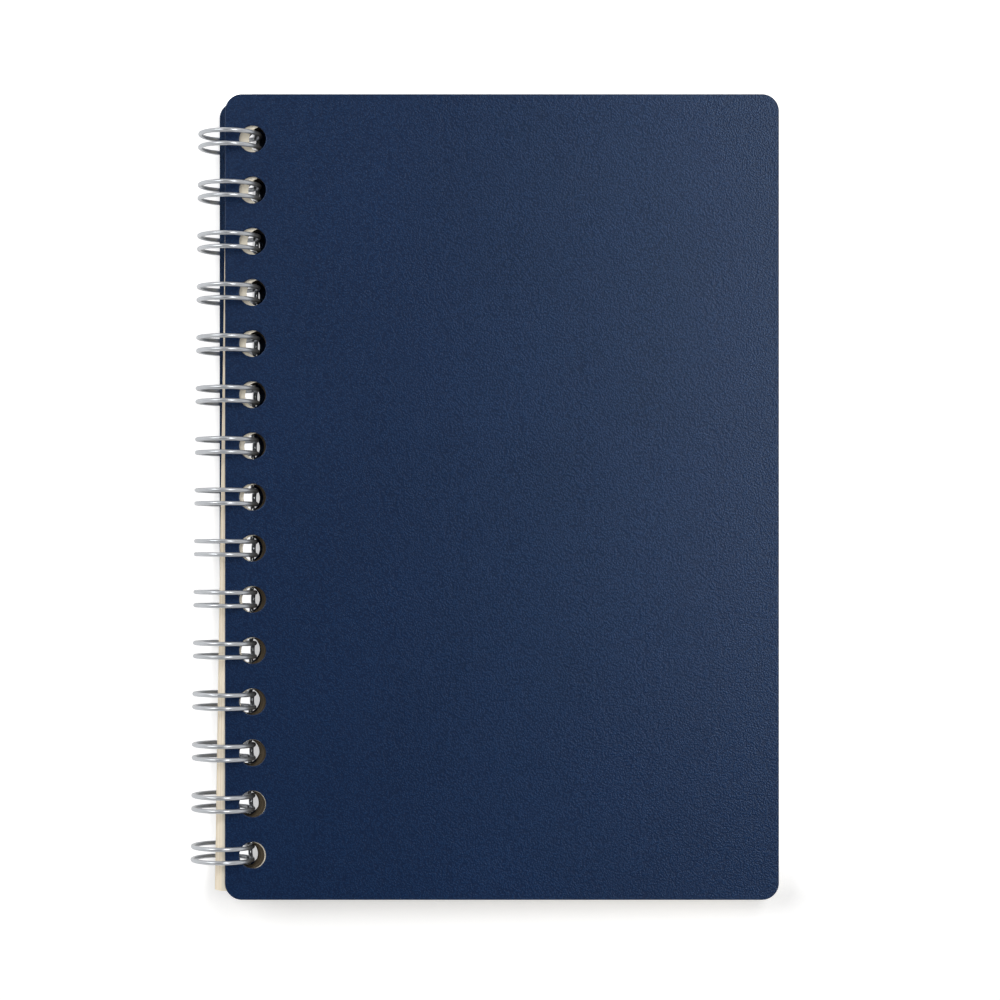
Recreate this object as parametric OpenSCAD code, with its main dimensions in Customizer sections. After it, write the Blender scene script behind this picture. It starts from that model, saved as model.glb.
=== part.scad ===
// Twin-loop wire bound notebook, lying on its back with the front cover up.
// Units are millimetres. +Z is up, +Y runs from foot to head, and the wire runs along the -X side.
// The origin is on the table, under the middle of the whole outline.
//
// The sheets are drawn in the binding's own section: s is the distance from the wire's centre line
// along a sheet, towards the fore edge, and n is the height above that line.

/* [Covers] */
// Height of both covers, from foot to head
cover_h = 200; // [150:1:260]
// Width of both covers, from spine edge to fore edge
cover_w = 137.5; // [100:0.5:220]
// Thickness of the cover board
cover_t = 0.65; // [0.4:0.05:0.8]
// Radius of the covers' four corners
cover_corner_r = 4.2; // [2:0.1:10]

/* [Pages] */
// Thickness of the closed stack of pages
block_t = 7.4; // [5:0.1:12]
// How much narrower a page is than a cover
page_trim_w = 3; // [2.5:0.1:8]
// How much shorter a page is than a cover, at the head and again at the foot
page_trim_h = 2.1; // [1:0.1:5]
// Radius of the pages' two fore-edge corners
page_corner_r = 4.2; // [2:0.1:10]
// Bundles of pages that show as steps where the stack follows the curve of the wire
bundles = 10; // [4:2:16]

/* [Punching] */
// Diameter of the round holes in covers and pages
hole_d = 6.6; // [6.4:0.05:8]
// Distance from a cover's spine edge to the centres of its holes
cover_inset = 6.85; // [5:0.05:10]
// Distance from a page's spine edge to the centres of its holes
page_inset = 7.3; // [5:0.05:9]
// Distance between neighbouring holes
pitch = 12.7; // [11:0.1:16]
// Least distance from a cover's head or foot to the centre of a hole
end_margin = 8; // [6:0.5:15]

/* [Wire] */
// Diameter of the coated steel wire
wire_d = 1.1; // [0.8:0.05:1.2]
// Free room that the loops leave across the closed notebook
loop_room = 7.3; // [7:0.1:10]
// Distance between the two wires of one loop
pair_gap = 3.3; // [2.8:0.1:3.6]
// Bend radius where a loop meets the straight link to the next one
root_bend_r = 1; // [0.8:0.05:1.2]
// Distance between the tip of a closed loop and the line of the links
seam_gap = 0.5; // [0.3:0.05:1.5]

/* [Clearances] */
// Gap between the pages and the front cover
front_gap = 0.15; // [0.1:0.05:0.5]
// Gap between the pages and the wire's links
link_gap = 0.15; // [0.1:0.05:0.5]
// Gap between the wire's links and the back cover
back_gap = 0.25; // [0.2:0.05:0.5]
// Gap between the pages and the back cover at the fore edge
fore_gap = 0.15; // [0.1:0.05:0.5]
// Least gap kept between a wire and the rim of a hole
rim_gap = 0.06; // [0.03:0.01:0.2]

/* [How it lies] */
// Angle in plan by which the wire leans off the covers, in degrees
wire_skew = 0.6; // [0:0.02:0.7]
// Angle in plan by which the pages lean off the covers, in degrees
page_skew = 0.88; // [0.5:0.02:1]
// Slip of the front cover on the wire, from -1 towards the spine to 1 towards the fore edge
front_slip = 0.98; // [-1:0.01:1]
// Slip of the outermost pages on the wire, from -1 towards the spine to 1 towards the fore edge
outer_page_slip = 0.97; // [-1:0.01:1]
// Slip of the pages in the middle of the stack, from -1 to 1 as above
inner_page_slip = -0.98; // [-1:0.01:1]
// Slip of the back cover on the wire, from -1 to 1 as above
back_slip = -0.9; // [-0.9:0.01:1]

/* [Hidden] */
round_fn = 96;
wire_fn = 24;
// Depth by which one bundle of pages runs into the next, so that the stack is one solid
lap = 0.01;

hole_r = hole_d / 2;
wire_r = wire_d / 2;
half_pair = pair_gap / 2;

// Number of holes, and of loops
holes = floor((cover_h - 2 * end_margin) / pitch) + 1;
hole_row = (holes - 1) * pitch;

// The loops: outside diameter, and radius of the wire's own centre line
loop_d = block_t + 2 * cover_t + loop_room;
loop_r = loop_d / 2 - wire_r;

// Heights of the faces above or below the wire's centre line
block_top = block_t / 2;
front_inner = block_top + front_gap;
front_outer = front_inner + cover_t;
link_n = block_top + link_gap + wire_r;
back_inner = link_n + wire_r + back_gap;
back_outer = back_inner + cover_t;

// Where the wire crosses a height n, as a distance along the sheet
function wire_s(n) = sqrt(loop_r * loop_r - n * n);

// How far a row of holes can slide on the wire, where it crosses height n and the row runs off
// the wire's line by an angle. The wire crosses a sheet aslant, so its section there is longer.
function play(n, skew) =
    sqrt(pow(hole_r - wire_r, 2) - half_pair * half_pair) - rim_gap
    - wire_r * (loop_r / wire_s(n) - 1) - hole_row / 2 * tan(abs(skew));

// Distance from the wire's centre line to the holes of a sheet that fills the heights from near
// to far, at a slip from -1, where the wire meets the far rims, to 1, where it meets the near ones
function hung(near, far, skew, slip) =
    let (low = wire_s(near) - play(near, skew), high = wire_s(far) + play(far, skew))
    (low + high) / 2 + slip * (high - low) / 2;

// The stack of pages, cut in bundles of equal thickness
bundle_t = block_t / bundles;
front_hole_s = hung(front_inner, front_outer, wire_skew, front_slip);
back_hole_s = hung(back_inner, back_outer, wire_skew, back_slip);
outer_page_s = hung(block_top - bundle_t, block_top, page_skew - wire_skew, outer_page_slip);
inner_page_s = hung(0, bundle_t, page_skew - wire_skew, inner_page_slip);
function bundle_n(i) = (i + 0.5) * bundle_t - block_top;
function bundle_s(i) =
    inner_page_s + (outer_page_s - inner_page_s) * pow(bundle_n(i) / bundle_n(bundles - 1), 2);
page_w = cover_w - page_trim_w;
page_h = cover_h - 2 * page_trim_h;

// Far edge of the back cover, which touches the table, and the slope of each sheet
back_far = back_hole_s - cover_inset + cover_w;
front_far = front_hole_s - cover_inset + cover_w;
axis_z = loop_d / 2;
back_lean = asin(axis_z / norm([back_far, back_outer])) - atan(back_outer / back_far);
back_far_top = axis_z - back_inner / cos(back_lean) - back_far * tan(back_lean);
top_lean = atan((axis_z - block_top - back_far_top - fore_gap) / back_far);

// Centre of the wire in plan, which puts the origin under the middle of the outline
reach_left = (hole_row / 2 + half_pair) * sin(wire_skew) + loop_r * cos(wire_skew) + wire_r;
reach_right = front_far * cos(top_lean) + front_outer * sin(top_lean);
axis_x = (reach_left - reach_right) / 2;

// A loop starts below the pages, just past the links, runs round the table side and over the top,
// and ends just short of the links again. The angles run from the fore-edge side downwards.
link_angle = asin(link_n / norm([loop_r, root_bend_r]));
start_angle = link_angle + atan(root_bend_r / loop_r);
tip_angle = 360 + link_angle - seam_gap / loop_r * 180 / PI - atan(half_pair / loop_r);
// The loops stand square to the wire, so they move along it to meet the holes at the middle
wire_slide = wire_s(front_outer) * sin(wire_skew);

// A sheet with its spine edge at x = 0, its corners rounded at the spine and at the fore edge
module sheet_outline(w, h, spine_r, fore_r) {
    difference() {
        translate([0, -h / 2]) square([w, h]);
        for (side = [-1, 1]) {
            if (spine_r > 0) corner_cut(0, side * h / 2, 1, -side, spine_r);
            corner_cut(w, side * h / 2, -1, -side, fore_r);
        }
    }
}

// What rounding takes off a corner at x, y, where dx and dy point into the sheet
module corner_cut(x, y, dx, dy, r) {
    translate([x, y]) scale([dx, dy]) difference() {
        translate([-1, -1]) square(r + 1);
        translate([r, r]) circle(r, $fn = round_fn);
    }
}

// The row of punched holes at x
module hole_outline(x) {
    for (i = [0 : holes - 1])
        translate([x, i * pitch - hole_row / 2]) circle(hole_r, $fn = round_fn);
}

// Children drawn about the wire's centre line, in plan, turned about it by a slope
module on_wire_line(lean) {
    translate([axis_x, 0, axis_z]) rotate([0, lean, 0]) children();
}

module cover(hole_s, n) {
    translate([hole_s - cover_inset, 0, n]) linear_extrude(cover_t) difference() {
        sheet_outline(cover_w, cover_h, cover_corner_r, cover_corner_r);
        hole_outline(cover_inset);
    }
}

module front_cover() {
    color("#1f2f52") on_wire_line(top_lean) cover(front_hole_s, front_inner);
}

module back_cover() {
    color("#1a2846") on_wire_line(back_lean) cover(back_hole_s, -back_outer);
}

module page_block() {
    color("#ddd3bd") on_wire_line(top_lean) rotate([0, 0, -page_skew]) for (i = [0 : bundles - 1]) {
        bottom = bundle_n(i) - bundle_t / 2;
        thickness = bundle_t + (i < bundles - 1 ? lap : 0);
        translate([bundle_s(i) - page_inset, 0, bottom]) linear_extrude(thickness) difference() {
            sheet_outline(page_w, page_h, 0, page_corner_r);
            hole_outline(page_inset);
        }
    }
}

// A bend of the wire, of radius r, from one angle over a sweep, about the local z axis
module bend(r, from, sweep) {
    rotate([0, 0, from]) rotate_extrude(angle = sweep, $fn = round_fn)
        translate([r, 0]) circle(wire_r, $fn = wire_fn);
}

// Children in the plane that touches the loop's cylinder at an angle: local x runs on round the
// loop, and local y runs along the binding
module on_loop(angle) {
    rotate([0, 0, angle]) translate([loop_r, 0, 0]) rotate([90, 0, 90]) children();
}

// One loop: two round wires, joined at the tip, each with a bend into its link
module loop() {
    for (side = [-1, 1]) {
        translate([0, 0, side * half_pair]) bend(loop_r, start_angle, tip_angle - start_angle);
        on_loop(start_angle) translate([0, side * (half_pair + root_bend_r), 0])
            bend(root_bend_r, side > 0 ? 180 : 90, 90);
    }
    on_loop(tip_angle) bend(half_pair, -90, 180);
}

// A straight stretch of link beside a loop, from a place along the binding
module link(from, length) {
    on_loop(start_angle) translate([-root_bend_r, from, 0]) rotate([-90, 0, 0])
        cylinder(r = wire_r, h = length, $fn = wire_fn);
}

module twin_loop_wire() {
    link_start = half_pair + root_bend_r;
    link_length = pitch - 2 * link_start;
    color("#b9bcc0") translate([axis_x, 0, axis_z]) rotate([0, top_lean, 0])
        rotate([0, 0, -wire_skew]) translate([0, wire_slide, 0]) rotate([-90, 0, 0])
            for (i = [0 : holes - 1]) translate([0, 0, i * pitch - hole_row / 2]) {
                loop();
                link(link_start, i < holes - 1 ? link_length : link_length / 2);
                if (i == 0) link(-link_start - link_length / 2, link_length / 2);
            }
}

front_cover();
page_block();
back_cover();
twin_loop_wire();
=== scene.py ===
"""A wire bound notebook with navy leather-grain covers, lying closed on a pale table.

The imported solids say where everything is; this script gives it its finish. Sizes are millimetres
in the binding's own section: s runs along a sheet from the wire's centre line to the fore edge,
y along the spine from foot to head, and n up from that line. The frame itself is in metres.
"""

from __future__ import annotations

import logging
import math
from dataclasses import dataclass, field
from enum import Enum, IntEnum
from typing import Any

import bpy
import numpy as np
from mathutils import Matrix, Quaternion, Vector, geometry


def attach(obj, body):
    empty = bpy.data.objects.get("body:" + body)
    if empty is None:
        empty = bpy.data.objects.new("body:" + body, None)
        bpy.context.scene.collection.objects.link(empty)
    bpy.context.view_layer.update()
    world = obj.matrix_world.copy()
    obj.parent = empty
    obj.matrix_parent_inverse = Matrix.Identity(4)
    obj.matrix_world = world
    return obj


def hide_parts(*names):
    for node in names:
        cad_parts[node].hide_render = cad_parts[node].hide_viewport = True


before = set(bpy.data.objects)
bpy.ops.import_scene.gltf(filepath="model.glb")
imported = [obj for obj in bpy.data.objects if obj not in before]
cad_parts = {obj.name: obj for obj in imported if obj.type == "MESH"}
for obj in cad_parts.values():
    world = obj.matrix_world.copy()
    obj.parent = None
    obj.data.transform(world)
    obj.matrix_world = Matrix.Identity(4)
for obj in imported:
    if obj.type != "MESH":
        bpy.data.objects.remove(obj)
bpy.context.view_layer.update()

MM = 0.001
LOG = logging.getLogger("notebook")


class Shading(Enum):
    """How the light is carried across the faces of a patch."""

    FLAT = False
    SMOOTH = True


class Finish(IntEnum):
    """Which of a piece's materials a patch wears."""

    FACE = 0
    CUT = 1
    # The walls of the pages' holes, whose finish is painted dark as shade
    PUNCHED = 2


@dataclass(frozen=True)
class Layout:
    """Driving sizes of the notebook in millimetres, and how its sheets and its wire lie.

    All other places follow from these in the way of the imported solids: the loops rest on the
    table, the back cover on its fore edge, and each cover hangs on the wire with a slip from
    -1, towards the spine, to 1, towards the fore edge. The pages keep page_gap from their
    neighbours, the links back_gap from the back cover, and the wire rim_gap from the rims of
    the covers' holes. Angles are in degrees.
    """

    cover_w: float = 137.5
    cover_h: float = 200.0
    cover_t: float = 0.65
    cover_inset: float = 6.85
    block_t: float = 7.4
    holes: int = 15
    pitch: float = 12.7
    hole_r: float = 3.3
    wire_r: float = 0.55
    loop_room: float = 7.3
    half_pair: float = 1.65
    root_bend: float = 1.0
    seam_gap: float = 0.5
    page_gap: float = 0.15
    back_gap: float = 0.25
    rim_gap: float = 0.06
    wire_skew: float = 0.6
    page_skew: float = 0.88
    front_slip: float = 0.98
    back_slip: float = -0.9

    @property
    def loop_r(self) -> float:
        """Radius of a loop at the middle of its wire, round the sheets and some free room."""
        return (self.block_t + 2 * self.cover_t + self.loop_room) / 2 - self.wire_r

    @property
    def axis_z(self) -> float:
        """Height of the wire's centre line over the table."""
        return self.loop_r + self.wire_r

    @property
    def front_inner(self) -> float:
        """Height of the front cover's lower face over the wire's centre line."""
        return self.block_t / 2 + self.page_gap

    @property
    def front_outer(self) -> float:
        """Height of the front cover's upper face over the wire's centre line."""
        return self.front_inner + self.cover_t

    @property
    def link_n(self) -> float:
        """Depth of the wire's links, just below the pages, under the wire's centre line."""
        return self.block_t / 2 + self.page_gap + self.wire_r

    @property
    def back_inner(self) -> float:
        """Depth of the back cover's upper face under the wire's centre line."""
        return self.link_n + self.wire_r + self.back_gap

    @property
    def back_outer(self) -> float:
        """Depth of the back cover's lower face under the wire's centre line."""
        return self.back_inner + self.cover_t

    @property
    def front_hole_s(self) -> float:
        """Distance of the front cover's holes from the wire's centre line."""
        return self.hung(self.front_inner, self.front_outer, self.front_slip)

    @property
    def back_hole_s(self) -> float:
        """Distance of the back cover's holes from the wire's centre line."""
        return self.hung(self.back_inner, self.back_outer, self.back_slip)

    @property
    def back_lean(self) -> float:
        """Works out the slope of the back cover, whose fore edge touches the table.

        Returns:
            The slope down towards the fore edge, in degrees.
        """
        far = self.fore_edge(self.back_hole_s)
        rise = math.asin(self.axis_z / math.hypot(far, self.back_outer))
        return math.degrees(rise - math.atan(self.back_outer / far))

    @property
    def top_lean(self) -> float:
        """Works out the slope of the sheets that lie on the back cover's fore edge.

        Returns:
            The slope of the pages and the front cover down towards the fore edge, in degrees.
        """
        far, lean = self.fore_edge(self.back_hole_s), math.radians(self.back_lean)
        edge_top = self.axis_z - self.back_inner / math.cos(lean) - far * math.tan(lean)
        drop = self.axis_z - self.block_t / 2 - edge_top - self.page_gap
        return math.degrees(math.atan(drop / far))

    @property
    def axis_x(self) -> float:
        """Works out where the wire is, with the origin under the middle of the outline.

        Returns:
            Place of the wire's centre line in the frame, in millimetres.
        """
        skew, lean = math.radians(self.wire_skew), math.radians(self.top_lean)
        half_row = (self.holes - 1) * self.pitch / 2 + self.half_pair
        left = half_row * math.sin(skew) + self.loop_r * math.cos(skew) + self.wire_r
        far = self.fore_edge(self.front_hole_s)
        right = far * math.cos(lean) + self.front_outer * math.sin(lean)
        return (left - right) / 2

    def fore_edge(self, hole_s: float) -> float:
        """Distance of a cover's fore edge from the wire's centre line, by its holes' place."""
        return hole_s - self.cover_inset + self.cover_w

    def wire_s(self, n: float) -> float:
        """Distance at which the wire crosses a height n, from the circle of its loops."""
        return math.sqrt(self.loop_r**2 - n**2)

    def play(self, n: float) -> float:
        """Finds how far a cover can slide on the wire.

        It is the room that the pair of wires leaves in a round hole, less a gap to the rim, less
        what the slant of the wire and the turn of the row of holes take.

        Args:
            n: Height at which the wire crosses the cover, in millimetres.

        Returns:
            The play to each side, in millimetres.
        """
        room = math.sqrt((self.hole_r - self.wire_r) ** 2 - self.half_pair**2) - self.rim_gap
        slant = self.wire_r * (self.loop_r / self.wire_s(n) - 1)
        turn = (self.holes - 1) * self.pitch / 2 * math.tan(math.radians(self.wire_skew))
        return room - slant - turn

    def hung(self, near: float, far: float, slip: float) -> float:
        """Finds where the holes of a cover lie as it hangs on the wire.

        Args:
            near: Height of the cover's face that is nearer to the wire's centre line.
            far: Height of its other face.
            slip: From -1, towards the spine, to 1, towards the fore edge.

        Returns:
            Distance of the holes from the wire's centre line, in millimetres.
        """
        low = self.wire_s(near) - self.play(near)
        high = self.wire_s(far) + self.play(far)
        return (low + high) / 2 + slip * (high - low) / 2

    def hole_places(self) -> np.ndarray:
        """Lays out the holes along the spine.

        Returns:
            Their places from foot to head, in millimetres.
        """
        return (np.arange(self.holes) - (self.holes - 1) / 2) * self.pitch

    def in_frame(
        self, s: np.ndarray, y: np.ndarray, n: np.ndarray, lean: float, skew: float = 0.0
    ) -> np.ndarray:
        """Turns section coordinates in plan by the skew, tips them by the lean, and moves them.

        Args:
            s: Distances along the sheet, in millimetres.
            y: Distances along the spine, in millimetres.
            n: Heights above the wire's centre line, in millimetres.
            lean: Slope of the sheet down towards the fore edge, in degrees.
            skew: Turn in plan, clockwise from above, in degrees.

        Returns:
            Points in the frame, in metres, with the three coordinates on the last axis.
        """
        turn, slope = math.radians(skew), math.radians(lean)
        along = s * math.cos(turn) + y * math.sin(turn)
        across = y * math.cos(turn) - s * math.sin(turn)
        x = self.axis_x + along * math.cos(slope) + n * math.sin(slope)
        z = self.axis_z - along * math.sin(slope) + n * math.cos(slope)
        return np.stack(np.broadcast_arrays(x, across, z), axis=-1) * MM


LAYOUT = Layout()


def linear(hex_colour: str) -> tuple[float, float, float, float]:
    """Turns an sRGB hex colour into the linear RGBA that the shaders take.

    Args:
        hex_colour: Six hex digits after a hash sign.

    Returns:
        Red, green, blue and an alpha of 1.
    """
    srgb = [int(hex_colour[i : i + 2], 16) / 255 for i in (1, 3, 5)]
    red, green, blue = (
        c / 12.92 if c <= 0.04045 else ((c + 0.055) / 1.055) ** 2.4 for c in srgb
    )
    return red, green, blue, 1.0


def add_node(
    tree: bpy.types.NodeTree, kind: str, inputs: dict[Any, Any] | None = None, **settings: Any
) -> bpy.types.Node:
    """Adds a node, sets it up, and fills or links its inputs.

    Args:
        tree: The node tree that gets the node.
        kind: The node's type, without the ShaderNode prefix.
        inputs: Value, or another node's output socket, for each input by its name or number.
        settings: Properties of the node itself.

    Returns:
        The new node.
    """
    node = tree.nodes.new("ShaderNode" + kind)
    for name, value in settings.items():
        setattr(node, name, value)
    for name, value in (inputs or {}).items():
        if isinstance(value, bpy.types.NodeSocket):
            tree.links.new(value, node.inputs[name])
        else:
            node.inputs[name].default_value = value
    return node


def new_material(name: str) -> tuple[bpy.types.Material, bpy.types.NodeTree]:
    """Makes an empty material.

    Args:
        name: The material's name.

    Returns:
        The material and its node tree, which holds nothing yet.
    """
    material = bpy.data.materials.new(name)
    material.use_nodes = True
    material.node_tree.nodes.clear()
    return material, material.node_tree


def tone_ramp(
    tree: bpy.types.NodeTree, factor: Any, low: float, high: float, start: float, end: float
) -> bpy.types.NodeSocket:
    """Maps a factor from the range low..high to the range start..end, and clamps it.

    Args:
        tree: The node tree.
        factor: The socket to map.
        low: Factor that gives start.
        high: Factor that gives end.
        start: Result at low.
        end: Result at high.

    Returns:
        The mapped value's socket.
    """
    node = add_node(tree, "MapRange", {0: factor, 1: low, 2: high, 3: start, 4: end})
    return node.outputs[0]


@dataclass(frozen=True)
class GrainedBoard:
    """Coated board, embossed by a roller with a fine pebbled leather grain.

    The coating is a satin dielectric: deep navy, with a soft sheen that the grain breaks up.
    """

    name: str = "leather_grain_coated_board"
    colour: str = "#091d3d"
    worn_colour: str = "#17345a"
    sheen_tint: str = "#cbe0ff"
    pebble_mm: float = 0.42
    pore_mm: float = 0.25
    bend_mm: float = 0.6
    cloud_mm: float = 28.0
    relief_mm: float = 0.046
    roughness: float = 0.33

    def build(self) -> bpy.types.Material:
        """Builds the material.

        Returns:
            The finished material.
        """
        material, tree = new_material(self.name)
        place = add_node(tree, "TexCoord").outputs["Object"]
        # The roller's pebbles are real-size cells, pushed out of line by a slower noise, with
        # finer pores between and on them
        push = add_node(
            tree,
            "TexNoise",
            {"Vector": place, "Scale": 1 / (4 * self.bend_mm * MM), "Detail": 2.0},
        ).outputs["Color"]
        bent = add_node(
            tree, "MixRGB", {0: self.bend_mm * MM, 1: place, 2: push}, blend_type="ADD"
        ).outputs[0]
        cells = add_node(
            tree,
            "TexVoronoi",
            {"Vector": bent, "Scale": 1 / (self.pebble_mm * MM), "Smoothness": 0.35},
            feature="SMOOTH_F1",
        ).outputs["Distance"]
        pores = add_node(
            tree,
            "TexNoise",
            {"Vector": place, "Scale": 1 / (self.pore_mm * MM), "Detail": 1.0},
        ).outputs[0]
        cloud = add_node(
            tree,
            "TexNoise",
            {"Vector": place, "Scale": 1 / (self.cloud_mm * MM), "Detail": 3.0},
        ).outputs[0]
        dome = tone_ramp(tree, cells, 0.1, 0.75, 1.0, 0.0)
        relief = add_node(
            tree, "Math", {0: pores, 1: 0.7, 2: dome}, operation="MULTIPLY_ADD"
        ).outputs[0]
        bump = add_node(
            tree,
            "Bump",
            {"Height": relief, "Strength": 0.65, "Distance": self.relief_mm * MM},
        ).outputs[0]
        wear = tone_ramp(tree, relief, 0.55, 1.5, 0.0, 1.0)
        colour = add_node(
            tree, "MixRGB", {0: wear, 1: linear(self.colour), 2: linear(self.worn_colour)}
        ).outputs[0]
        shade = tone_ramp(tree, cloud, 0.3, 0.7, 0.94, 1.06)
        colour = add_node(
            tree, "MixRGB", {0: 1.0, 1: colour, 2: shade}, blend_type="MULTIPLY"
        ).outputs[0]
        rough = add_node(
            tree,
            "Math",
            {0: dome, 1: -0.04, 2: self.roughness},
            operation="MULTIPLY_ADD",
        ).outputs[0]
        surface = add_node(
            tree,
            "BsdfPrincipled",
            {
                "Base Color": colour,
                "Roughness": rough,
                "Normal": bump,
                "IOR": 1.5,
                "Specular IOR Level": 0.4,
                "Specular Tint": linear(self.sheen_tint),
            },
        ).outputs[0]
        add_node(tree, "OutputMaterial", {0: surface})
        return material


@dataclass(frozen=True)
class CutBoard:
    """The same board where a blade or a punch has cut it: matt fibres, dyed through, paler."""

    name: str = "cut_edge_of_dyed_board"
    colour: str = "#3c4a66"
    fibre_colour: str = "#6d7a94"
    fibre_mm: float = 0.35
    roughness: float = 0.62

    def build(self) -> bpy.types.Material:
        """Builds the material.

        Returns:
            The finished material.
        """
        material, tree = new_material(self.name)
        place = add_node(tree, "TexCoord").outputs["Object"]
        fibres = add_node(
            tree,
            "TexNoise",
            {"Vector": place, "Scale": 1 / (self.fibre_mm * MM), "Detail": 3.0},
        ).outputs[0]
        mix = tone_ramp(tree, fibres, 0.35, 0.7, 0.0, 1.0)
        colour = add_node(
            tree, "MixRGB", {0: mix, 1: linear(self.colour), 2: linear(self.fibre_colour)}
        ).outputs[0]
        bump = add_node(
            tree, "Bump", {"Height": fibres, "Strength": 0.3, "Distance": 0.05 * MM}
        ).outputs[0]
        surface = add_node(
            tree,
            "BsdfPrincipled",
            {"Base Color": colour, "Roughness": self.roughness, "Normal": bump},
        ).outputs[0]
        add_node(tree, "OutputMaterial", {0: surface})
        return material


@dataclass(frozen=True)
class WritingPaper:
    """Uncoated cream writing paper, matt, with a faint cloudiness from the fibres' felting."""

    name: str = "uncoated_cream_paper"
    colour: str = "#efe6d3"
    fibre_colour: str = "#ebe2ce"
    fibre_mm: float = 1.6
    cloud_mm: float = 9.0

    def build(self) -> bpy.types.Material:
        """Builds the material.

        Returns:
            The finished material.
        """
        material, tree = new_material(self.name)
        place = add_node(tree, "TexCoord").outputs["Object"]
        fibres = add_node(
            tree,
            "TexNoise",
            {"Vector": place, "Scale": 1 / (self.fibre_mm * MM), "Detail": 5.0},
        ).outputs[0]
        cloud = add_node(
            tree, "TexNoise", {"Vector": place, "Scale": 1 / (self.cloud_mm * MM)}
        ).outputs[0]
        mixed = add_node(
            tree, "Math", {0: fibres, 1: 0.6, 2: cloud}, operation="MULTIPLY_ADD"
        ).outputs[0]
        mix = tone_ramp(tree, mixed, 0.6, 1.0, 0.0, 1.0)
        colour = add_node(
            tree, "MixRGB", {0: mix, 1: linear(self.colour), 2: linear(self.fibre_colour)}
        ).outputs[0]
        bump = add_node(
            tree, "Bump", {"Height": fibres, "Strength": 0.15, "Distance": 0.03 * MM}
        ).outputs[0]
        surface = add_node(
            tree,
            "BsdfPrincipled",
            {"Base Color": colour, "Roughness": 0.85, "Normal": bump},
        ).outputs[0]
        add_node(tree, "OutputMaterial", {0: surface})
        return material


@dataclass(frozen=True)
class TrimmedPaper:
    """The guillotined edges of the stacked sheets, which show as fine lines.

    Real sheets are 0.1 mm thick. Under half a pixel wide, they are drawn in groups of a few.
    """

    layout: Layout
    name: str = "trimmed_paper_edges"
    colour: str = "#fff6e6"
    gap_colour: str = "#e9dcc2"
    group_mm: float = 0.32

    def build(self) -> bpy.types.Material:
        """Builds the material.

        Returns:
            The finished material.
        """
        material, tree = new_material(self.name)
        place = add_node(tree, "TexCoord").outputs["Object"]
        # Turned into the stack's own slope, then squeezed so that the noise runs in layers
        level = add_node(
            tree,
            "Mapping",
            {
                "Vector": place,
                "Rotation": (0.0, -math.radians(self.layout.top_lean), 0.0),
                "Scale": (12.0, 12.0, 1 / (self.group_mm * MM)),
            },
        ).outputs[0]
        layers = add_node(
            tree, "TexNoise", {"Vector": level, "Scale": 1.0, "Detail": 2.0}
        ).outputs[0]
        mix = tone_ramp(tree, layers, 0.42, 0.66, 0.0, 0.75)
        colour = add_node(
            tree, "MixRGB", {0: mix, 1: linear(self.colour), 2: linear(self.gap_colour)}
        ).outputs[0]
        surface = add_node(
            tree,
            "BsdfPrincipled",
            {"Base Color": colour, "Roughness": 0.9},
        ).outputs[0]
        add_node(tree, "OutputMaterial", {0: surface})
        return material


@dataclass(frozen=True)
class CoatedWire:
    """Steel wire with a silver nylon coat: a bright satin metallic skin with faint draw lines.

    The coat is nylon full of metal flakes, so a part of its light is spread as by a plastic.
    """

    name: str = "silver_coated_steel_wire"
    colour: str = "#cccfd3"
    dull_colour: str = "#c4c7cb"
    draw_line_mm: float = 0.12
    roughness: float = 0.3
    metallic: float = 0.8

    def build(self) -> bpy.types.Material:
        """Builds the material, whose draw lines run along the wire by its own UV map.

        Returns:
            The finished material.
        """
        material, tree = new_material(self.name)
        skin = add_node(tree, "UVMap", uv_map=TwinLoopWire.UV_NAME).outputs[0]
        # The map is in metres along and round the wire, so this is one line per draw_line_mm
        lines = add_node(
            tree,
            "Mapping",
            {"Vector": skin, "Scale": (1 / (6 * MM), 1 / (self.draw_line_mm * MM), 1.0)},
        ).outputs[0]
        drawn = add_node(
            tree, "TexNoise", {"Vector": lines, "Scale": 1.0, "Detail": 2.0}
        ).outputs[0]
        patches = add_node(
            tree,
            "TexNoise",
            {"Vector": add_node(tree, "TexCoord").outputs["Object"], "Scale": 1 / (8 * MM)},
        ).outputs[0]
        mix = tone_ramp(tree, patches, 0.35, 0.65, 0.0, 1.0)
        colour = add_node(
            tree, "MixRGB", {0: mix, 1: linear(self.colour), 2: linear(self.dull_colour)}
        ).outputs[0]
        rough = add_node(
            tree, "Math", {0: patches, 1: 0.04, 2: self.roughness - 0.02}, operation="MULTIPLY_ADD"
        ).outputs[0]
        bump = add_node(
            tree, "Bump", {"Height": drawn, "Strength": 0.04, "Distance": 0.01 * MM}
        ).outputs[0]
        surface = add_node(
            tree,
            "BsdfPrincipled",
            {
                "Base Color": colour,
                "Metallic": self.metallic,
                "Roughness": rough,
                "Normal": bump,
            },
        ).outputs[0]
        add_node(tree, "OutputMaterial", {0: surface})
        return material


@dataclass
class Patch:
    """Faces of one kind: a row of vertex numbers for each face, their finish and shading."""

    faces: np.ndarray
    finish: Finish = Finish.FACE
    shading: Shading = Shading.SMOOTH


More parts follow.
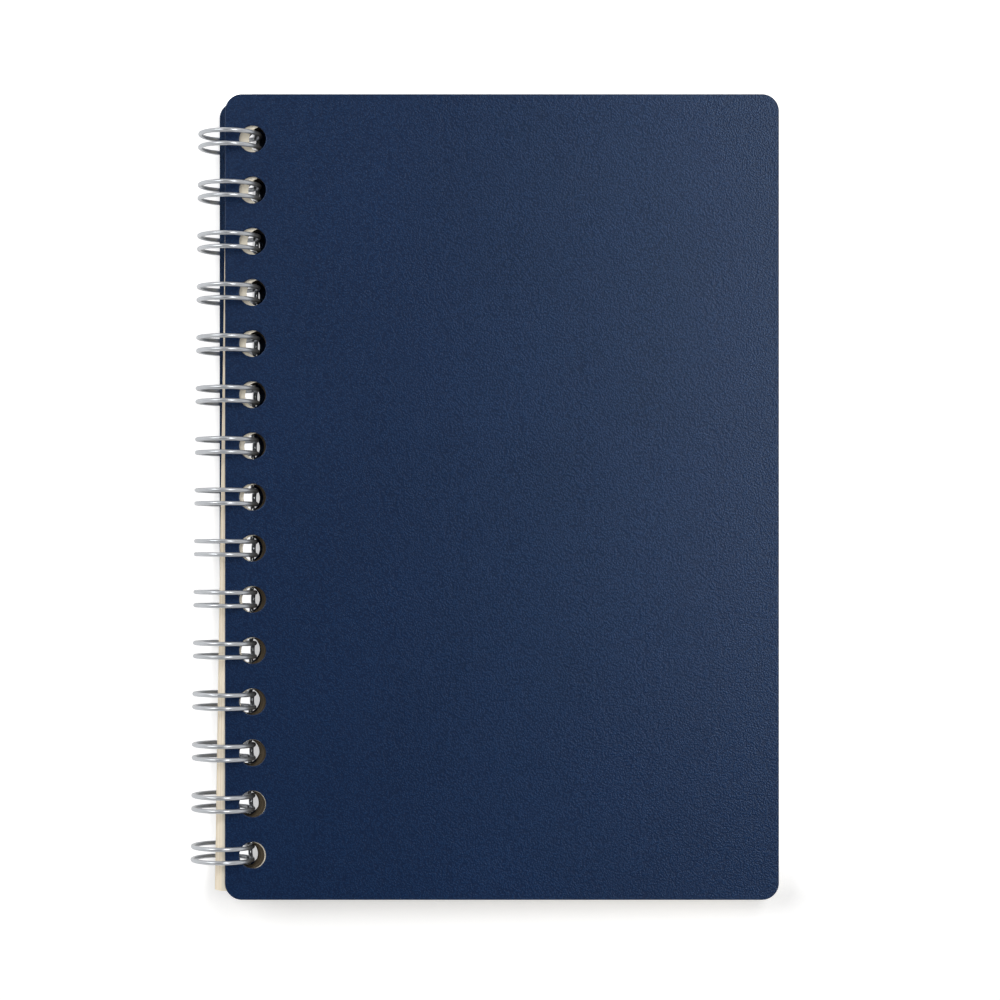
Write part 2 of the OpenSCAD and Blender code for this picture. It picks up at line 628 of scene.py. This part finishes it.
def make_piece(
    name: str,
    points: np.ndarray,
    patches: list[Patch],
    finishes: list[bpy.types.Material],
) -> bpy.types.Object:
    """Puts whole arrays of points and faces into a new mesh object.

    Args:
        name: The piece's name.
        points: Places in the frame, in metres.
        patches: The faces, in one or more patches.
        finishes: The materials, in the order of Finish.

    Returns:
        The new object, linked to the scene.
    """
    mesh = bpy.data.meshes.new(name)
    corners = np.concatenate([patch.faces.ravel() for patch in patches]).astype(np.int32)
    sizes = np.concatenate([np.full(len(p.faces), p.faces.shape[1]) for p in patches])
    starts = np.concatenate([[0], np.cumsum(sizes)[:-1]]).astype(np.int32)
    finish = np.concatenate([np.full(len(p.faces), p.finish) for p in patches])
    smooth = np.concatenate([np.full(len(p.faces), p.shading.value) for p in patches])
    mesh.vertices.add(len(points))
    mesh.vertices.foreach_set("co", points.astype(np.float32).ravel())
    mesh.loops.add(len(corners))
    mesh.loops.foreach_set("vertex_index", corners)
    mesh.polygons.add(len(sizes))
    mesh.polygons.foreach_set("loop_start", starts)
    mesh.polygons.foreach_set("material_index", finish.astype(np.int32))
    mesh.polygons.foreach_set("use_smooth", smooth)
    for material in finishes:
        mesh.materials.append(material)
    mesh.update(calc_edges=True)
    mesh.validate()
    piece = bpy.data.objects.new(name, mesh)
    bpy.context.scene.collection.objects.link(piece)
    return piece


def skin(rows: int, columns: int, first: int = 0) -> np.ndarray:
    """Quads between the rows of a grid whose columns close on themselves.

    Args:
        rows: Number of rows.
        columns: Number of points in a row.
        first: Vertex number of the grid's first point.

    Returns:
        Four vertex numbers for each quad.
    """
    grid = first + np.arange(rows * columns).reshape(rows, columns)
    after = np.roll(grid, -1, axis=1)
    return np.stack([grid[:-1], grid[1:], after[1:], after[:-1]], axis=-1).reshape(-1, 4)


def circle(radius: float, count: int, centre: tuple[float, float] = (0.0, 0.0)) -> np.ndarray:
    """Lays out a circle clockwise: centre plus radius times (cos, -sin) of the angle.

    Args:
        radius: Radius of the circle.
        count: Number of points, spread evenly.
        centre: Place of the centre.

    Returns:
        The points, which start on the right.
    """
    angle = np.arange(count) * 2 * np.pi / count
    return np.stack([np.cos(angle), -np.sin(angle)], axis=-1) * radius + np.array(centre)


def rounded_sheet(
    left: float, width: float, height: float, spine_r: float, fore_r: float, steps: int
) -> np.ndarray:
    """Outline of a sheet with rounded corners, anticlockwise from the fore edge's foot.

    Each corner is its circle's centre plus its radius times (cos, sin) over a quarter turn.

    Args:
        left: Place of the spine edge.
        width: Width of the sheet.
        height: Height of the sheet, which is centred.
        spine_r: Radius of the two corners at the spine, or 0 for square ones.
        fore_r: Radius of the two corners at the fore edge.
        steps: Segments in each rounded corner.

    Returns:
        The outline's points in the sheet's plane.
    """
    right, top = left + width, height / 2
    corners = [
        (right - fore_r, fore_r - top, fore_r, -90),
        (right - fore_r, top - fore_r, fore_r, 0),
        (left + spine_r, top - spine_r, spine_r, 90),
        (left + spine_r, spine_r - top, spine_r, 180),
    ]
    arcs = []
    for x, y, radius, start in corners:
        angle = np.radians(np.linspace(start, start + 90, steps + 1 if radius else 1))
        arc = np.stack([np.cos(angle), np.sin(angle)], axis=-1) * radius
        arcs.append(arc + np.array([x, y]))
    return np.concatenate(arcs)


def away_from_board(loop: np.ndarray) -> np.ndarray:
    """Finds the unit normals of a closed loop, to the right of its travel.

    The tangent at a point is the chord between its neighbours, and the normal is that turned
    clockwise by a right angle. An outline runs anticlockwise and a hole clockwise, so for both
    the normal points out of the board.

    Args:
        loop: The loop's points in the board's plane.

    Returns:
        One normal for each point.
    """
    chord = np.roll(loop, -1, axis=0) - np.roll(loop, 1, axis=0)
    normal = np.stack([chord[:, 1], -chord[:, 0]], axis=-1)
    return normal / np.linalg.norm(normal, axis=1, keepdims=True)


def fill(loops: list[np.ndarray], hole_centres: np.ndarray, hole_r: float) -> np.ndarray:
    """Triangles of a flat convex sheet with round holes.

    A triangle lies in a hole if its middle is nearer to the hole's centre than the middles of
    the hole's sides are.

    Args:
        loops: The outline first, then the holes.
        hole_centres: The holes' centres in the same plane.
        hole_r: Radius of the holes' loops, which all have as many points.

    Returns:
        Three vertex numbers for each triangle, anticlockwise, numbered along the loops.
    """
    points = np.concatenate(loops)
    edges, first = [], 0
    for loop in loops:
        number = first + np.arange(len(loop))
        edges.append(np.stack([number, np.roll(number, -1)], axis=-1))
        first += len(loop)
    pairs = np.concatenate(edges).tolist()
    filled = geometry.delaunay_2d_cdt([Vector(p) for p in points.tolist()], pairs, [], 0, 1e-9)
    triangles = np.array(filled[2])
    if len(filled[0]) != len(points):
        raise ValueError("the outline's loops touch each other")
    middle = points[triangles].mean(axis=1)
    reach = np.linalg.norm(middle[:, None] - hole_centres[None], axis=-1).min(axis=1)
    triangles = triangles[reach > hole_r * math.cos(math.pi / len(loops[-1]))]
    a, b, c = (points[triangles[:, k]] for k in range(3))
    turn = (b[:, 0] - a[:, 0]) * (c[:, 1] - a[:, 1]) - (b[:, 1] - a[:, 1]) * (c[:, 0] - a[:, 0])
    triangles[turn < 0] = triangles[turn < 0][:, ::-1]
    return triangles


@dataclass
class Cover:
    """A cover board: rounded corners, eased edges, and a row of punched holes."""

    node: str
    body: str
    hole_s: float
    bottom_n: float
    lean: float
    layout: Layout = LAYOUT
    corner_r: float = 4.2
    edge_ease: float = 0.2
    hole_ease: float = 0.24
    ease_steps: int = 5
    corner_steps: int = 14
    hole_points: int = 56

    def profile(self, ease: float) -> tuple[np.ndarray, np.ndarray]:
        """Section of an edge, from the upper face to the lower one.

        Each end is a quarter circle: the inset is ease times (1 - sin) and the drop is ease
        times (1 - cos) of an angle that runs over a right angle.

        Args:
            ease: Radius of the softened corners.

        Returns:
            Insets from the cut line, and heights above the lower face.
        """
        angle = np.radians(np.linspace(0, 90, self.ease_steps + 1))
        inset, drop = ease * (1 - np.sin(angle)), ease * (1 - np.cos(angle))
        insets = np.concatenate([inset, inset[::-1]])
        heights = np.concatenate([self.layout.cover_t - drop, drop[::-1]])
        return insets, heights

    def build(self, face: bpy.types.Material, cut: bpy.types.Material) -> bpy.types.Object:
        """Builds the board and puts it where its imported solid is.

        Args:
            face: Finish of the two faces and their softened edges.
            cut: Finish of the cut edges.

        Returns:
            The finished piece.
        """
        lay = self.layout
        places = lay.hole_places()
        centres = np.stack([np.full_like(places, self.hole_s), places], axis=-1)
        outline = rounded_sheet(
            self.hole_s - lay.cover_inset, lay.cover_w, lay.cover_h,
            self.corner_r, self.corner_r, self.corner_steps,
        )
        loops = [outline]
        loops += [circle(lay.hole_r, self.hole_points, tuple(c)) for c in centres]
        eases = [self.edge_ease] + [self.hole_ease] * lay.holes
        points, patches, tops, bottoms, first = [], [], [], [], 0
        for loop, ease in zip(loops, eases):
            insets, heights = self.profile(ease)
            row = loop[None] - insets[:, None, None] * away_from_board(loop)[None]
            height = np.broadcast_to(heights[:, None], row.shape[:2]) + self.bottom_n
            points.append(
                lay.in_frame(row[..., 0], row[..., 1], height, self.lean).reshape(-1, 3)
            )
            rows, count = row.shape[:2]
            wall = skin(rows, count, first).reshape(rows - 1, count, 4)
            cut_rows = slice(self.ease_steps - 1, self.ease_steps + 2)
            patches.append(Patch(wall[cut_rows].reshape(-1, 4), Finish.CUT))
            patches.append(Patch(wall[: cut_rows.start].reshape(-1, 4)))
            patches.append(Patch(wall[cut_rows.stop :].reshape(-1, 4)))
            tops.append((row[0], first + np.arange(count)))
            bottoms.append(first + (rows - 1) * count + np.arange(count))
            first += rows * count
        triangles = fill([top for top, _ in tops], centres, lay.hole_r + self.hole_ease)
        upper = np.concatenate([number for _, number in tops])[triangles]
        lower = np.concatenate(bottoms)[triangles][:, ::-1]
        patches += [Patch(upper, shading=Shading.FLAT), Patch(lower, shading=Shading.FLAT)]
        piece = make_piece(self.node + "_board", np.concatenate(points), patches, [face, cut])
        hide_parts(self.node)
        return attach(piece, self.body)


@dataclass
class PageStack:
    """The loose sheets between the covers, each with its own edge, on the curve of the wire.

    A page is narrower than a cover by trim_w, and shorter by trim_h at the head and at the foot.
    The holes of the first, the middle and the last sheet lie at outer_s, inner_s and last_s.
    """

    layout: Layout = LAYOUT
    sheets: int = 74
    trim_w: float = 3.0
    trim_h: float = 2.1
    corner_r: float = 4.2
    inset: float = 7.3
    outer_s: float = 8.0445
    inner_s: float = 5.95
    last_s: float = 6.6
    slack: float = 0.025
    corner_steps: int = 9
    hole_points: int = 42
    seed: int = 7

    def slide(self, n: np.ndarray) -> np.ndarray:
        """Slides the sheets along their own plane, on the curve of the wire.

        Two half parabolas run from the middle sheets up to the first and down to the last.

        Args:
            n: Heights of the sheets above the wire's centre line, in millimetres.

        Returns:
            Places of their holes along the sheets.
        """
        height = n * 2 / self.layout.block_t
        outer = np.where(height > 0, self.outer_s, self.last_s)
        return self.inner_s + (outer - self.inner_s) * height**2

    def build(
        self, face: bpy.types.Material, edge: bpy.types.Material, punched: bpy.types.Material
    ) -> bpy.types.Object:
        """Builds the stack: two rows of points to each sheet, carried round every outline.

        Args:
            face: Finish of the first and last page.
            edge: Finish of the trimmed edges.
            punched: Finish of the walls of the holes, painted dark as their shade.

        Returns:
            The finished piece.
        """
        half = self.layout.block_t / 2
        bounds = np.linspace(half, -half, self.sheets + 1)
        heights = np.stack([bounds[:-1], bounds[1:]], axis=-1).ravel()
        middle = (bounds[:-1] + bounds[1:]) / 2
        rng = np.random.default_rng(self.seed)
        loose = rng.uniform(-self.slack, self.slack, (2, self.sheets))
        loose[:, [0, -1]] = 0.0
        shift_s = np.repeat(self.slide(middle) + loose[0], 2)
        shift_y = np.repeat(loose[1], 2)
        places = self.layout.hole_places()
        centres = np.stack([np.zeros_like(places), places], axis=-1)
        width = self.layout.cover_w - self.trim_w
        height = self.layout.cover_h - 2 * self.trim_h
        loops = [
            rounded_sheet(-self.inset, width, height, 0.0, self.corner_r, self.corner_steps)
        ]
        loops += [circle(self.layout.hole_r, self.hole_points, tuple(c)) for c in centres]
        rows, points, patches, numbers, first = len(heights), [], [], [], 0
        for loop in loops:
            s = loop[None, :, 0] + shift_s[:, None]
            y = loop[None, :, 1] + shift_y[:, None]
            n = np.broadcast_to(heights[:, None], s.shape)
            placed = self.layout.in_frame(s, y, n, self.layout.top_lean, self.layout.page_skew)
            points.append(placed.reshape(-1, 3))
            # The holes' walls get the finish that is painted dark as the shade inside the holes
            finish = Finish.PUNCHED if first else Finish.CUT
            patches.append(Patch(skin(rows, len(loop), first), finish, Shading.FLAT))
            numbers.append(first + np.arange(len(loop)))
            first += rows * len(loop)
        triangles = fill(loops, centres, self.layout.hole_r)
        upper = np.concatenate(numbers)[triangles]
        drop = np.concatenate([np.full(len(loop), (rows - 1) * len(loop)) for loop in loops])
        lower = (np.concatenate(numbers) + drop)[triangles][:, ::-1]
        patches += [Patch(upper, shading=Shading.FLAT), Patch(lower, shading=Shading.FLAT)]
        piece = make_piece("page_stack", np.concatenate(points), patches, [face, edge, punched])
        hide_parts("page_block")
        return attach(piece, "bound_pages")


@dataclass
class TwinLoopWire:
    """One length of round wire, bent into fifteen double loops and their links.

    A cut end narrows from the wire's radius to its shoulder's share, and then to its nose's.
    """

    UV_NAME = "along_wire"

    layout: Layout = LAYOUT
    sides: int = 18
    arc_step: float = 0.55
    bend_steps: int = 7
    tip_steps: int = 14
    end_ease: float = 0.12
    shoulder: float = 0.75
    nose: float = 0.02

    def unit(self) -> tuple[np.ndarray, np.ndarray, np.ndarray]:
        """Centre line of one double loop with half a link on each side.

        The whole line lies on the loop's cylinder, or in the plane that touches it at the roots
        or at the tip, so the cylinder's radius there is always square to the wire.

        Returns:
            The loop's angle, the distance along the touching plane and the distance along the
            binding, for each point from the foot side to the head side.
        """
        lay = self.layout
        link = math.asin(lay.link_n / math.hypot(lay.loop_r, lay.root_bend))
        start = link + math.atan(lay.root_bend / lay.loop_r)
        tip = 2 * math.pi + link - lay.seam_gap / lay.loop_r - math.atan(lay.half_pair / lay.loop_r)
        count = int((tip - start) * lay.loop_r / self.arc_step)
        arc = np.linspace(start, tip, count)
        quarter = np.linspace(0, np.pi / 2, self.bend_steps + 1)
        r, pair = lay.root_bend, lay.half_pair
        root_a, root_b = -r * np.cos(quarter), -pair - r + r * np.sin(quarter)
        turn = np.linspace(-np.pi / 2, np.pi / 2, self.tip_steps + 1)[1:-1]
        half_a = [np.array([-r]), root_a, np.zeros(count - 1)]
        half_b = [np.array([-lay.pitch / 2]), root_b, np.full(count - 1, -pair)]
        half_angle = [np.array([start]), np.full(len(quarter), start), arc[1:]]
        angle = np.concatenate(half_angle + [np.full(len(turn), tip)])
        along = np.concatenate(half_a + [pair * np.cos(turn)])
        across = np.concatenate(half_b + [pair * np.sin(turn)])
        mirrored = len(angle) - len(turn)
        return (
            np.concatenate([angle, angle[:mirrored][::-1]]),
            np.concatenate([along, along[:mirrored][::-1]]),
            np.concatenate([across, -across[:mirrored][::-1]]),
        )

    def build(self, finish: bpy.types.Material) -> bpy.types.Object:
        """Carries a circle along the whole centre line.

        A ring's points are the centre plus the wire's radius times (cos of the loop's radius
        direction + sin of that direction crossed with the tangent).

        Args:
            finish: The wire's finish.

        Returns:
            The finished piece.
        """
        lay = self.layout
        angle, along, across = self.unit()
        places = lay.hole_places()
        # Neighbouring units share the middle of their link, so each but the first drops a point
        angles = np.concatenate([angle] + [angle[1:]] * (lay.holes - 1))
        alongs = np.concatenate([along] + [along[1:]] * (lay.holes - 1))
        y = np.concatenate([across + places[0]] + [across[1:] + p for p in places[1:]])
        radius = np.stack([np.cos(angles), np.zeros_like(angles), -np.sin(angles)], axis=-1)
        round_loop = np.stack([-np.sin(angles), np.zeros_like(angles), -np.cos(angles)], axis=-1)
        centre = radius * lay.loop_r + round_loop * alongs[:, None]
        centre[:, 1] = y
        tangent = np.gradient(centre, axis=0)
        tangent /= np.linalg.norm(tangent, axis=1, keepdims=True)
        side = np.cross(tangent, radius)
        # Both cut ends are rounded off a little and closed with a point
        centre = np.concatenate([centre[:1], centre[:1], centre, centre[-1:], centre[-1:]])
        grow = np.full(len(centre), lay.wire_r)
        grow[[0, -1]], grow[[1, -2]] = lay.wire_r * self.nose, lay.wire_r * self.shoulder
        centre[[2, -3]] += tangent[[0, -1]] * np.array([[self.end_ease], [-self.end_ease]])
        radius = np.concatenate([radius[:1], radius[:1], radius, radius[-1:], radius[-1:]])
        side = np.concatenate([side[:1], side[:1], side, side[-1:], side[-1:]])
        theta = np.arange(self.sides) * 2 * np.pi / self.sides
        ring = (
            radius[:, None] * np.cos(theta)[None, :, None]
            + side[:, None] * np.sin(theta)[None, :, None]
        )
        points = centre[:, None] + ring * grow[:, None, None]
        slide = lay.wire_s(lay.front_outer) * math.sin(math.radians(lay.wire_skew))
        placed = self.in_binding(points, slide)
        rows = len(centre)
        quads = skin(rows, self.sides)[:, ::-1]
        last = (rows - 1) * self.sides
        caps = np.arange(self.sides)[None]
        patches = [Patch(quads), Patch(caps), Patch((caps + last)[:, ::-1])]
        piece = make_piece("twin_loop_binding", placed.reshape(-1, 3), patches, [finish])
        self.map_skin(piece, centre)
        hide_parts("twin_loop_wire")
        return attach(piece, "bound_pages")

    def in_binding(self, points: np.ndarray, slide: float) -> np.ndarray:
        """Turns the wire by its skew, then tips it with the sheets.

        Args:
            points: Places about the wire's own line, in millimetres.
            slide: How far the loops move along the binding to meet the holes.

        Returns:
            Places in the frame, in metres.
        """
        lay = self.layout
        return lay.in_frame(
            points[..., 0], points[..., 1] + slide, points[..., 2], lay.top_lean, lay.wire_skew
        )

    def map_skin(self, piece: bpy.types.Object, centre: np.ndarray) -> None:
        """Gives the wire a UV map in metres: u runs along it and v round it.

        Args:
            piece: The wire, whose vertices go ring by ring.
            centre: The centre line's points, one to a ring.
        """
        mesh = piece.data
        run = np.concatenate([[0], np.cumsum(np.linalg.norm(np.diff(centre, axis=0), axis=1))])
        corner = np.zeros(len(mesh.loops), np.int32)
        mesh.loops.foreach_get("vertex_index", corner)
        ring, spoke = np.divmod(corner, self.sides)
        girth = 2 * np.pi * self.layout.wire_r / self.sides
        uv = np.stack([run[ring] * MM, spoke * girth * MM], axis=-1)
        layer = mesh.uv_layers.new(name=self.UV_NAME)
        layer.data.foreach_set("uv", uv.astype(np.float32).ravel())


@dataclass
class Tabletop:
    """The pale table, white to the camera by a painted glow that leaves part of the notebook's
    shadow.

    A pair of millimetres is a stretch over which the table's glow changes. Those of the holes
    are measured from the middle of the front cover's holes, the others from the origin.
    """

    half_size: float = 3.0
    gap_mm: float = 0.02
    colour: str = "#f2f2f2"
    # The glows are painted light: they whiten the table where the notebook shades it, beside the
    # spine, beside the fore edge and under the holes, and less so below the foot
    foot_glow: float = 0.33
    spine_glow: float = 0.55
    fore_glow: float = 0.6
    hole_glow: float = 0.97
    gloss_share: float = 0.3
    left_of_holes: tuple[float, float] = (-13.0, -7.0)
    under_holes: tuple[float, float] = (-1.8, -0.8)
    spine_to_fore: tuple[float, float] = (-50.0, 50.0)
    past_foot: tuple[float, float] = (-100.0, -90.0)
    past_lamps: tuple[float, float] = (350.0, 800.0)

    @staticmethod
    def change(
        tree: bpy.types.NodeTree, place: Any, stretch: tuple[float, float], start: float, end: float
    ) -> bpy.types.NodeSocket:
        """Changes a value evenly from start to end over a stretch of the table.

        Args:
            tree: The node tree.
            place: Socket with the place, in metres.
            stretch: Both ends of the stretch, in millimetres.
            start: Value before it.
            end: Value past it.

        Returns:
            The value's socket.
        """
        return tone_ramp(tree, place, stretch[0] * MM, stretch[1] * MM, start, end)

    def finish(self) -> bpy.types.Material:
        """Builds the table's material.

        What the camera, a gloss or a glass sees is the lit surface plus a painted glow. The glow
        is weak below the foot, where the shadow shows, and strong where the holes let the table
        show, so it paints the shaded table under them white. It ends under the holes' middle, so
        the table's own shade shows from there on. Far from the lamps the table is white. A gloss
        gets only a share of the glow, so that white stays white in a reflection and no brighter.

        Returns:
            The finished material.
        """
        material, tree = new_material("white_table_with_painted_glow")
        place = add_node(tree, "TexCoord").outputs["Object"]
        across, along = add_node(tree, "SeparateXYZ", {0: place}).outputs[:2]
        holes = (LAYOUT.axis_x + LAYOUT.front_hole_s) * MM
        offset = add_node(tree, "Math", {0: across, 1: holes}, operation="SUBTRACT").outputs[0]
        # Painted light: the glow whitens the shaded table seen through the holes, up to their
        # middle
        left_part = self.change(tree, offset, self.left_of_holes, 0.0, self.hole_glow)
        right_part = self.change(tree, offset, self.under_holes, 1.0, 0.0)
        under = add_node(
            tree, "Math", {0: left_part, 1: right_part}, operation="MULTIPLY"
        ).outputs[0]
        sides = self.change(
            tree, across, self.spine_to_fore, self.spine_glow, self.fore_glow
        )
        beside = add_node(tree, "Math", {0: under, 1: sides}, operation="MAXIMUM").outputs[0]
        shadow = self.change(tree, along, self.past_foot, 1.0, 0.0)
        near = add_node(
            tree, "MixRGB", {0: shadow, 1: beside, 2: (*[self.foot_glow] * 3, 1.0)}
        ).outputs[0]
        reach = add_node(tree, "VectorMath", {0: place}, operation="LENGTH").outputs["Value"]
        far = self.change(tree, reach, self.past_lamps, 0.0, 1.0)
        glow = add_node(tree, "Math", {0: near, 1: far}, operation="MAXIMUM").outputs[0]
        plain = add_node(
            tree, "BsdfDiffuse", {"Color": linear(self.colour), "Roughness": 0.6}
        ).outputs[0]
        shine = add_node(tree, "Emission", {"Color": (1, 1, 1, 1), "Strength": glow}).outputs[0]
        both = add_node(tree, "AddShader", {0: plain, 1: shine}).outputs[0]
        rays = add_node(tree, "LightPath").outputs
        seen = add_node(
            tree,
            "Math",
            {0: rays["Is Glossy Ray"], 1: self.gloss_share, 2: rays["Is Camera Ray"]},
            operation="MULTIPLY_ADD",
        ).outputs[0]
        seen = add_node(
            tree, "Math", {0: seen, 1: rays["Is Transmission Ray"]}, operation="MAXIMUM"
        ).outputs[0]
        shown = add_node(tree, "MixShader", {0: seen, 1: plain, 2: both}).outputs[0]
        add_node(tree, "OutputMaterial", {0: shown})
        return material

    def build(self) -> bpy.types.Object:
        """Builds the tabletop as one wide square just under the notebook.

        Returns:
            The table.
        """
        corner = np.array([[-1, -1], [1, -1], [1, 1], [-1, 1]]) * self.half_size
        points = np.column_stack([corner, np.full(4, -self.gap_mm * MM)])
        table = make_piece("table", points, [Patch(np.arange(4)[None])], [self.finish()])
        return table


@dataclass(frozen=True)
class Softbox:
    """A rectangular lamp that faces the notebook."""

    name: str
    azimuth: float
    elevation: float
    distance: float
    length: float
    width: float
    radiance: float
    roll: float = 0.0

    def build(self) -> bpy.types.Object:
        """Hangs the lamp in its direction, where azimuth 0 is +X and 90 is the head side.

        A lamp of radiance L gives out a power of L times pi times its area. Its length runs
        level, and the roll turns it from there about the line to the notebook.

        Returns:
            The lamp.
        """
        lamp = bpy.data.lights.new(self.name, "AREA")
        lamp.shape = "RECTANGLE"
        lamp.size, lamp.size_y = self.length, self.width
        lamp.energy = self.radiance * math.pi * self.length * self.width
        turn, rise = math.radians(self.azimuth), math.radians(self.elevation)
        way = Vector(
            (math.cos(turn) * math.cos(rise), math.sin(turn) * math.cos(rise), math.sin(rise))
        )
        box = bpy.data.objects.new(self.name, lamp)
        box.location = way * self.distance
        facing = way.to_track_quat("Z", "Y") @ Quaternion((0, 0, 1), math.radians(self.roll))
        box.rotation_euler = facing.to_euler()
        bpy.context.scene.collection.objects.link(box)
        return box


@dataclass
class Studio:
    """The room's soft light and the lamps.

    The light falls from horizon to zenith between two heights of its direction, from 0 to 1.
    """

    horizon: float = 0.95
    zenith: float = 0.06
    fall: tuple[float, float] = (0.1, 0.95)
    boxes: list[Softbox] = field(
        default_factory=lambda: [
            Softbox("left_softbox", 152, 50, 1.5, 0.7, 0.7, 4.5),
            Softbox("right_top_strip", 34, 66.5, 1.4, 1.1, 0.3, 7.0, -34),
        ]
    )

    def build(self) -> list[bpy.types.Object]:
        """Sets up the room and hangs the lamps.

        The room is pale round the horizon and darker overhead, by the height of the direction.
        The camera sees it as plain white.

        Returns:
            The lamps.
        """
        world = bpy.data.worlds.new("studio_room")
        world.use_nodes = True
        tree = world.node_tree
        tree.nodes.clear()
        way = add_node(tree, "TexCoord").outputs["Generated"]
        height = add_node(tree, "SeparateXYZ", {0: way}).outputs[2]
        level = tone_ramp(tree, height, *self.fall, self.horizon, self.zenith)
        seen = add_node(tree, "LightPath").outputs["Is Camera Ray"]
        shown = add_node(tree, "Math", {0: level, 1: seen}, operation="MAXIMUM").outputs[0]
        light = add_node(tree, "Background", {"Color": (1, 1, 1, 1), "Strength": shown})
        add_node(tree, "OutputWorld", {0: light.outputs[0]})
        bpy.context.scene.world = world
        return [box.build() for box in self.boxes]


@dataclass(frozen=True)
class PhotoCamera:
    """The photograph's view: square on to the front cover, from a little below its middle."""

    distance: float = 567.0
    focal_px: float = 2285.0
    frame_px: float = 1000.0
    sensor: float = 36.0
    centre_s: float = LAYOUT.front_hole_s - LAYOUT.cover_inset + LAYOUT.cover_w / 2
    aim_px: tuple[float, float] = (501.95, 497.0)
    principal_y_px: float = 560.0

    def build(self) -> bpy.types.Object:
        """Puts the camera on the front cover's normal and shifts its frame.

        Returns:
            The camera, which is also made the scene's own.
        """
        data = bpy.data.cameras.new("photo_camera")
        data.sensor_width = self.sensor
        data.lens = self.focal_px / self.frame_px * self.sensor
        data.shift_y = (self.principal_y_px - self.frame_px / 2) / self.frame_px
        data.clip_start, data.clip_end = 0.01, 20.0
        scale = self.focal_px / self.distance
        s = self.centre_s - (self.aim_px[0] - self.frame_px / 2) / scale
        y = -(self.principal_y_px - self.aim_px[1]) / scale
        camera = bpy.data.objects.new("photo_camera", data)
        n = LAYOUT.front_outer + self.distance
        place = LAYOUT.in_frame(np.float64(s), np.float64(y), np.float64(n), LAYOUT.top_lean)
        tip = Matrix.Rotation(math.radians(LAYOUT.top_lean), 4, "Y")
        camera.matrix_world = Matrix.Translation(Vector(place.tolist())) @ tip
        bpy.context.scene.collection.objects.link(camera)
        bpy.context.scene.camera = camera
        return camera


def report(piece: bpy.types.Object) -> None:
    """Logs a piece's name and how many faces it has.

    Args:
        piece: The finished piece.
    """
    LOG.info("%s: %d faces", piece.name, len(piece.data.polygons))


def main() -> None:
    """Builds the camera, the light, the table and the notebook, piece by piece."""
    logging.basicConfig(level=logging.INFO, format="%(name)s: %(message)s")
    bpy.context.scene.view_settings.view_transform = "Standard"
    PhotoCamera().build()
    Studio().build()
    Tabletop().build()
    board, cut = GrainedBoard().build(), CutBoard().build()
    paper, edges = WritingPaper().build(), TrimmedPaper(LAYOUT).build()
    # The same paper edges in dark colours for the walls of the holes: painted shade inside the
    # holes
    punched = TrimmedPaper(
        LAYOUT, "punched_paper_edges_painted_shade", colour="#574c3b", gap_colour="#2e281f"
    ).build()
    front = Cover(
        "front_cover", "front_cover", LAYOUT.front_hole_s, LAYOUT.front_inner, LAYOUT.top_lean
    )
    back = Cover(
        "back_cover", "back_cover", LAYOUT.back_hole_s, -LAYOUT.back_outer, LAYOUT.back_lean
    )
    report(front.build(board, cut))
    report(back.build(board, cut))
    report(PageStack().build(paper, edges, punched))
    report(TwinLoopWire().build(CoatedWire().build()))


if __name__ == "__main__":
    main()
